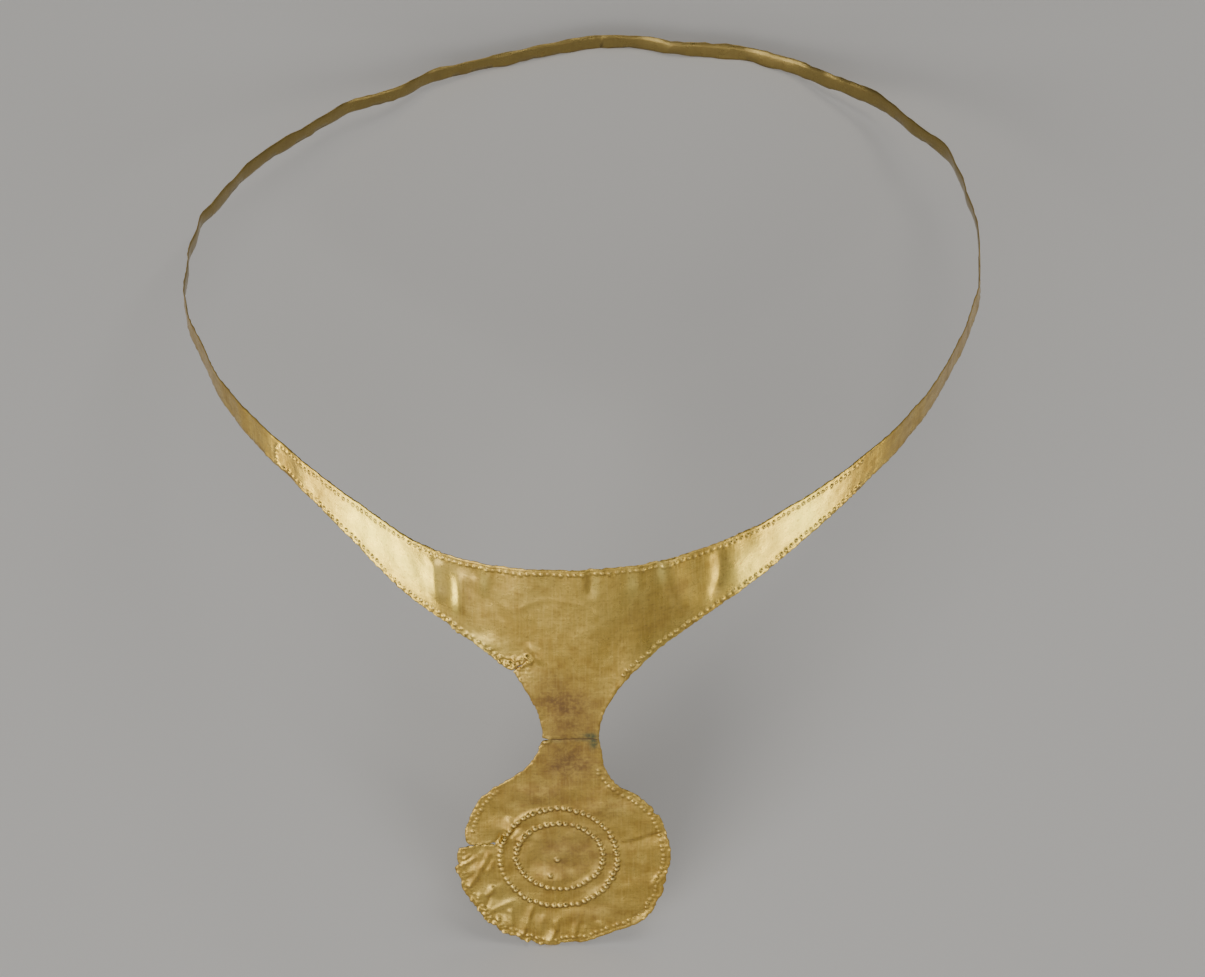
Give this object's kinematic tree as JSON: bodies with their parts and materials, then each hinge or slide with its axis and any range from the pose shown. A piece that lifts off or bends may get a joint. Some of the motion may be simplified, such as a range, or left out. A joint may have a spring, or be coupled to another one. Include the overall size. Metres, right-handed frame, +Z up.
{
  "type": "diadem",
  "caption": "Closed band of beaten sheet gold that widens into a plate over the forehead, with a disc below it on a waisted neck and rows of punched dots.",
  "frame": {"origin": "middle of the footprint, on the surface that the diadem lies on", "axes": "+Y from the disc towards the back of the band, +Z up, +X to the viewer's right seen from the disc's side"},
  "size_m": [0.1744, 0.2154, 0.0868],
  "materials": {
    "gold": "beaten and burnished sheet gold, worn, with fine scratches and brown soiling"
  },
  "bodies": {
    "root": {"diadem": "gold"}
  },
  "joints": []
}
